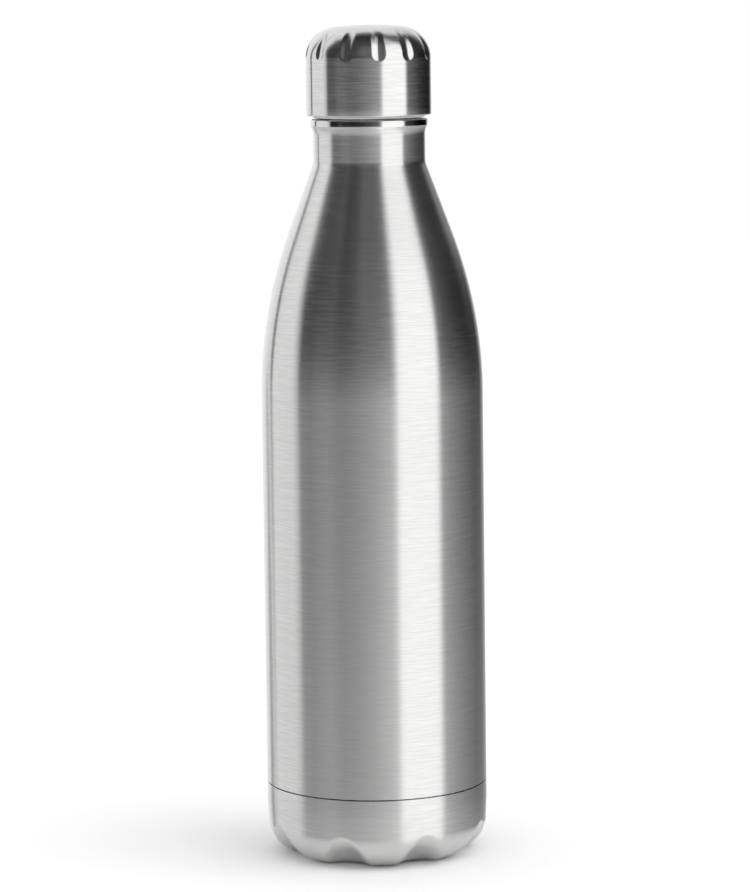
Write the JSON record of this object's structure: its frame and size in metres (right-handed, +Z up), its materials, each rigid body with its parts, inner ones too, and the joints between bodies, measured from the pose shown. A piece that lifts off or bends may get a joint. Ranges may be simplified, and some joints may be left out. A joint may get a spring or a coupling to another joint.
{
  "type": "insulated water bottle",
  "caption": "Double-walled steel water bottle with a long sloping shoulder, a rolled mouth rim, a fluted screw cap with a threaded stopper, and a petal-shaped base cup.",
  "frame": {"origin": "centre of the ring of feet, on the surface the bottle stands on", "axes": "+Z up along the bottle's axis, -Y towards the front, +X to the right"},
  "size_m": [0.081, 0.081, 0.3032],
  "materials": {
    "brushed_shell_steel": "brushed round the body",
    "brushed_cap_steel": "brushed round the cap, bright at the hem",
    "pressed_liner_steel": "satin, electropolished",
    "getter_alloy": "dull sintered pellet",
    "solder_glass": "fused dark bead",
    "copper_foil": "bright copper",
    "base_glue": "cured silicone adhesive",
    "clear_silicone": "soft matt silicone",
    "stopper_plastic": "fine satin moulded polypropylene",
    "insulating_foam": "expanded bead foam"
  },
  "bodies": {
    "bottle": {"outer_shell": "brushed_shell_steel", "inner_liner": "pressed_liner_steel", "liner_bottom": "pressed_liner_steel", "copper_foil": "copper_foil", "vacuum_plate": "pressed_liner_steel", "vacuum_seal": "solder_glass", "getter": "getter_alloy", "getter_holder": "pressed_liner_steel", "base_glue_ring": "base_glue", "base_cup": "brushed_shell_steel"},
    "seal": {"mouth_gasket": "clear_silicone"},
    "cap": {"cap_shell": "brushed_cap_steel", "cap_liner": "stopper_plastic", "stopper": "stopper_plastic", "stopper_foam": "insulating_foam", "stopper_end_disc": "stopper_plastic"}
  },
  "joints": [
    {"name": "cap_lift", "type": "slide", "parent": "bottle", "child": "seal", "axis": [0, 0, 1], "range_m": [0, 0.024]},
    {"name": "cap_turn", "type": "hinge", "parent": "seal", "child": "cap", "pos_m": [0, 0, 0.2718], "axis": [0, 0, 1], "range_deg": [0, 1080]}
  ],
  "couplings": [
    {"joint": "cap_lift", "follows": "cap_turn", "m_per_rad": 0.0012732}
  ]
}
